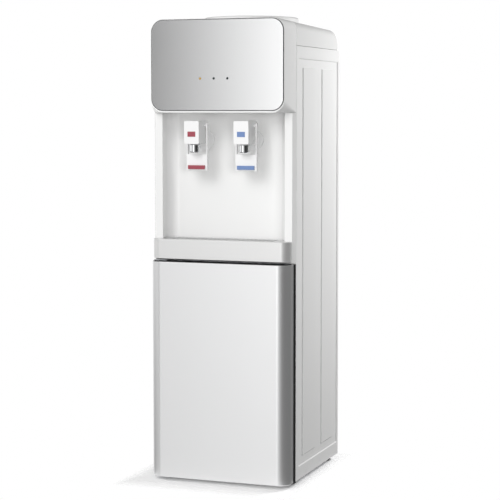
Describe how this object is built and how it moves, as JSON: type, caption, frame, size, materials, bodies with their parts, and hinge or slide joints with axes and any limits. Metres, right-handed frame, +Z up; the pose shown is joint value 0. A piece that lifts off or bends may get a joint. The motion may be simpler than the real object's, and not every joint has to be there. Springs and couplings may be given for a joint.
{
  "type": "hot and cold water dispenser",
  "caption": "Free-standing hot and cold water dispenser with lever taps, drip tray, bottle seat and a storage cabinet below.",
  "frame": {"origin": "on the floor, under the middle of the dispenser's overall box", "axes": "+X to the right of someone who faces the dispenser, +Y to its rear, +Z up"},
  "size_m": [0.31, 0.34, 0.963],
  "materials": {
    "white_steel": "satin",
    "zinc_steel": "galvanised",
    "white_gloss": "gloss",
    "white_inner": "satin",
    "silver_coat": "satin metallic",
    "chrome": "polished",
    "red": "gloss",
    "blue": "gloss",
    "green": "gloss",
    "dark_plastic": "matt",
    "amber": "clear",
    "board": "matt",
    "black_steel": "semi-gloss",
    "rubber": "matt",
    "copper": "dull copper",
    "stainless": "mill",
    "heater": "mill",
    "foam": "foam",
    "silicone": "translucent"
  },
  "bodies": {
    "cabinet": {"base_pan": "zinc_steel", "levelling_feet": "dark_plastic", "left_side_panel": "white_steel", "right_side_panel": "white_steel", "rear_panel": "zinc_steel", "cross_members": "zinc_steel", "top_cover": "white_gloss", "front_hood": "white_gloss", "fascia_plate": "silver_coat", "plate_trim": "dark_plastic", "led_lenses": "amber", "circuit_boards": "board", "alcove_panel": "white_gloss", "cabinet_liner": "white_inner", "shelf": "white_inner", "hinge_brackets": "zinc_steel", "magnet_catch": "dark_plastic", "compressor": "black_steel", "compressor_mounts": "rubber", "relay_cover": "white_inner", "condenser_tube": "black_steel", "condenser_wires": "black_steel", "filter_drier": "copper", "evaporator_coil": "copper", "cold_tank": "stainless", "baffle": "white_inner", "foam_jacket": "foam", "hot_tank": "stainless", "heater_band": "heater", "hot_jacket": "foam", "water_hoses": "silicone", "rear_fittings": "dark_plastic", "nuts_and_screws": "zinc_steel", "tap_bodies": "white_gloss", "spouts": "chrome", "hot_tile": "red", "cold_tile": "blue", "hot_spring": "stainless", "cold_spring": "stainless"},
    "door": {"door_shell": "silver_coat", "door_liner": "white_inner", "door_seal": "rubber", "hinge_bushes": "white_inner"},
    "drip_tray": {"drip_tray": "white_inner", "tray_front": "silver_coat"},
    "drip_grille": {"drip_grille": "silver_coat"},
    "bottle_seat": {"bottle_seat": "white_gloss", "feed_probe": "white_inner", "seat_seal": "rubber"},
    "hot_lever": {"hot_lever": "white_gloss", "hot_bar": "red"},
    "cold_lever": {"cold_lever": "white_gloss", "cold_bar": "blue"},
    "hot_stem": {"hot_stem": "stainless"},
    "cold_stem": {"cold_stem": "stainless"},
    "hot_rocker": {"hot_rocker": "red"},
    "cold_rocker": {"cold_rocker": "green"},
    "drain_cap": {"drain_cap": "dark_plastic"}
  },
  "joints": [
    {"name": "door_swing", "type": "hinge", "parent": "cabinet", "child": "door", "pos_m": [-0.14, -0.14, 0.2], "axis": [0, 0, -1], "range_deg": [0, 110]},
    {"name": "tray_pull", "type": "slide", "parent": "cabinet", "child": "drip_tray", "axis": [0, -1, 0], "range_m": [0, 0.075]},
    {"name": "grille_lift", "type": "slide", "parent": "drip_tray", "child": "drip_grille", "axis": [0, 0, 1], "range_m": [0, 0.03]},
    {"name": "seat_lift", "type": "slide", "parent": "cabinet", "child": "bottle_seat", "axis": [0, 0, 1], "range_m": [0, 0.06]},
    {"name": "hot_press", "type": "hinge", "parent": "cabinet", "child": "hot_lever", "pos_m": [-0.0536, -0.1355, 0.737], "axis": [1, 0, 0], "range_deg": [0, 12], "stiffness_Nm_per_rad": 0.8, "springref_deg": -8.59},
    {"name": "cold_press", "type": "hinge", "parent": "cabinet", "child": "cold_lever", "pos_m": [0.0536, -0.1355, 0.737], "axis": [1, 0, 0], "range_deg": [0, 12], "stiffness_Nm_per_rad": 0.8, "springref_deg": -8.59},
    {"name": "hot_valve", "type": "slide", "parent": "cabinet", "child": "hot_stem", "axis": [0, 0, 1], "range_m": [0, 0.0025], "deforming": ["hot_spring"]},
    {"name": "cold_valve", "type": "slide", "parent": "cabinet", "child": "cold_stem", "axis": [0, 0, 1], "range_m": [0, 0.0025], "deforming": ["cold_spring"]},
    {"name": "hot_switch", "type": "hinge", "parent": "cabinet", "child": "hot_rocker", "pos_m": [0.049, 0.145, 0.266], "axis": [1, 0, 0], "range_deg": [0, 16]},
    {"name": "cold_switch", "type": "hinge", "parent": "cabinet", "child": "cold_rocker", "pos_m": [0.071, 0.145, 0.266], "axis": [1, 0, 0], "range_deg": [0, 16]},
    {"name": "cap_off", "type": "slide", "parent": "cabinet", "child": "drain_cap", "axis": [0, 1, 0], "range_m": [0, 0.02]}
  ],
  "couplings": [
    {"joint": "hot_valve", "follows": "hot_press", "m_per_rad": 0.0095},
    {"joint": "cold_valve", "follows": "cold_press", "m_per_rad": 0.0095}
  ]
}
